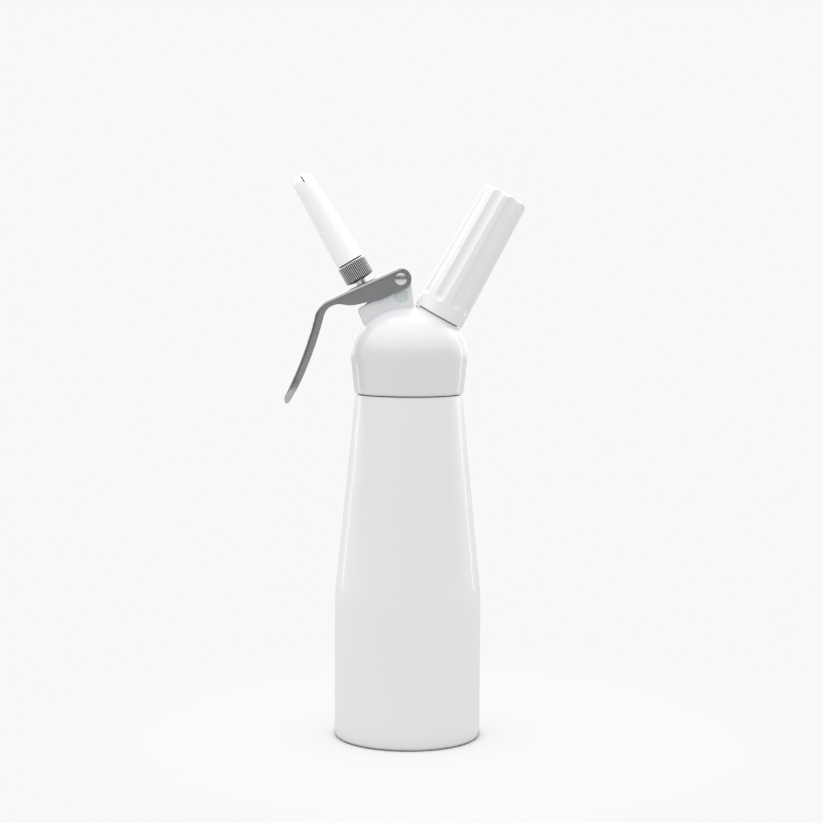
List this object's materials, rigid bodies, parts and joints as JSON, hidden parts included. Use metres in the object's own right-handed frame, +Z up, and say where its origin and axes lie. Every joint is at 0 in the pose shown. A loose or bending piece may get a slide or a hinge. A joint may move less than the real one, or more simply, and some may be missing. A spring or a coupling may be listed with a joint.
{
  "type": "whipped cream dispenser",
  "caption": "Tapered aluminium bottle with a screw-on domed head, a squeeze lever over a sprung tilted valve, a slit tip and a fluted gas charger holder.",
  "frame": {"origin": "centre of the bottle's base, on the surface it stands on", "axes": "+Z up along the bottle's axis, -X towards the lever and the nozzle, +X towards the charger holder"},
  "size_m": [0.1334, 0.082, 0.3158],
  "materials": {
    "bottle_paint": "satin white enamel",
    "head_paint": "semi-gloss white enamel",
    "holder_paint": "gloss white enamel",
    "lever_steel": "polished stainless",
    "pin_steel": "bright",
    "spring_steel": "drawn wire",
    "nickel": "nickel plated, knurled",
    "brass": "machined",
    "spigot_aluminium": "machined",
    "nozzle_plastic": "satin moulded",
    "plug_plastic": "satin moulded",
    "gasket_rubber": "silicone",
    "seal_rubber": "matt"
  },
  "bodies": {
    "bottle": {"bottle": "bottle_paint"},
    "head": {"head": "head_paint", "head_gasket": "gasket_rubber", "side_plug": "plug_plastic", "pivot_pin": "pin_steel", "stem_guide": "brass", "return_spring": "spring_steel", "inlet_spigot": "spigot_aluminium", "piercing_pin": "brass", "pin_gasket": "seal_rubber", "check_sleeve": "seal_rubber", "spigot_seal": "seal_rubber"},
    "lever": {"lever": "lever_steel"},
    "valve": {"valve_stem": "pin_steel", "stem_cone": "seal_rubber", "stem_o_ring": "seal_rubber", "thrust_collar": "pin_steel", "tip_adapter": "nickel", "tip_washer": "seal_rubber"},
    "nozzle": {"decorator_nozzle": "nozzle_plastic"},
    "holder": {"charger_holder": "holder_paint"}
  },
  "joints": [
    {"name": "head_lift", "type": "slide", "parent": "bottle", "child": "head", "axis": [0, 0, 1], "range_m": [0, 0.04]},
    {"name": "lever_pivot", "type": "hinge", "parent": "head", "child": "lever", "pos_m": [-0.00477, 0, 0.25743], "axis": [0, -1, 0], "range_deg": [0, 12], "stiffness_Nm_per_rad": 4.5, "springref_deg": -3.44},
    {"name": "valve_slide", "type": "slide", "parent": "head", "child": "valve", "axis": [0.5105, 0, -0.8599], "range_m": [0, 0.0042], "deforming": ["return_spring"]},
    {"name": "nozzle_slide", "type": "slide", "parent": "valve", "child": "nozzle", "axis": [-0.5105, 0, 0.8599], "range_m": [0, 0.03]},
    {"name": "holder_slide", "type": "slide", "parent": "head", "child": "holder", "axis": [0.4833, 0, 0.8755], "range_m": [0, 0.085]}
  ],
  "couplings": [
    {"joint": "valve_slide", "follows": "lever_pivot", "m_per_rad": 0.0195}
  ]
}
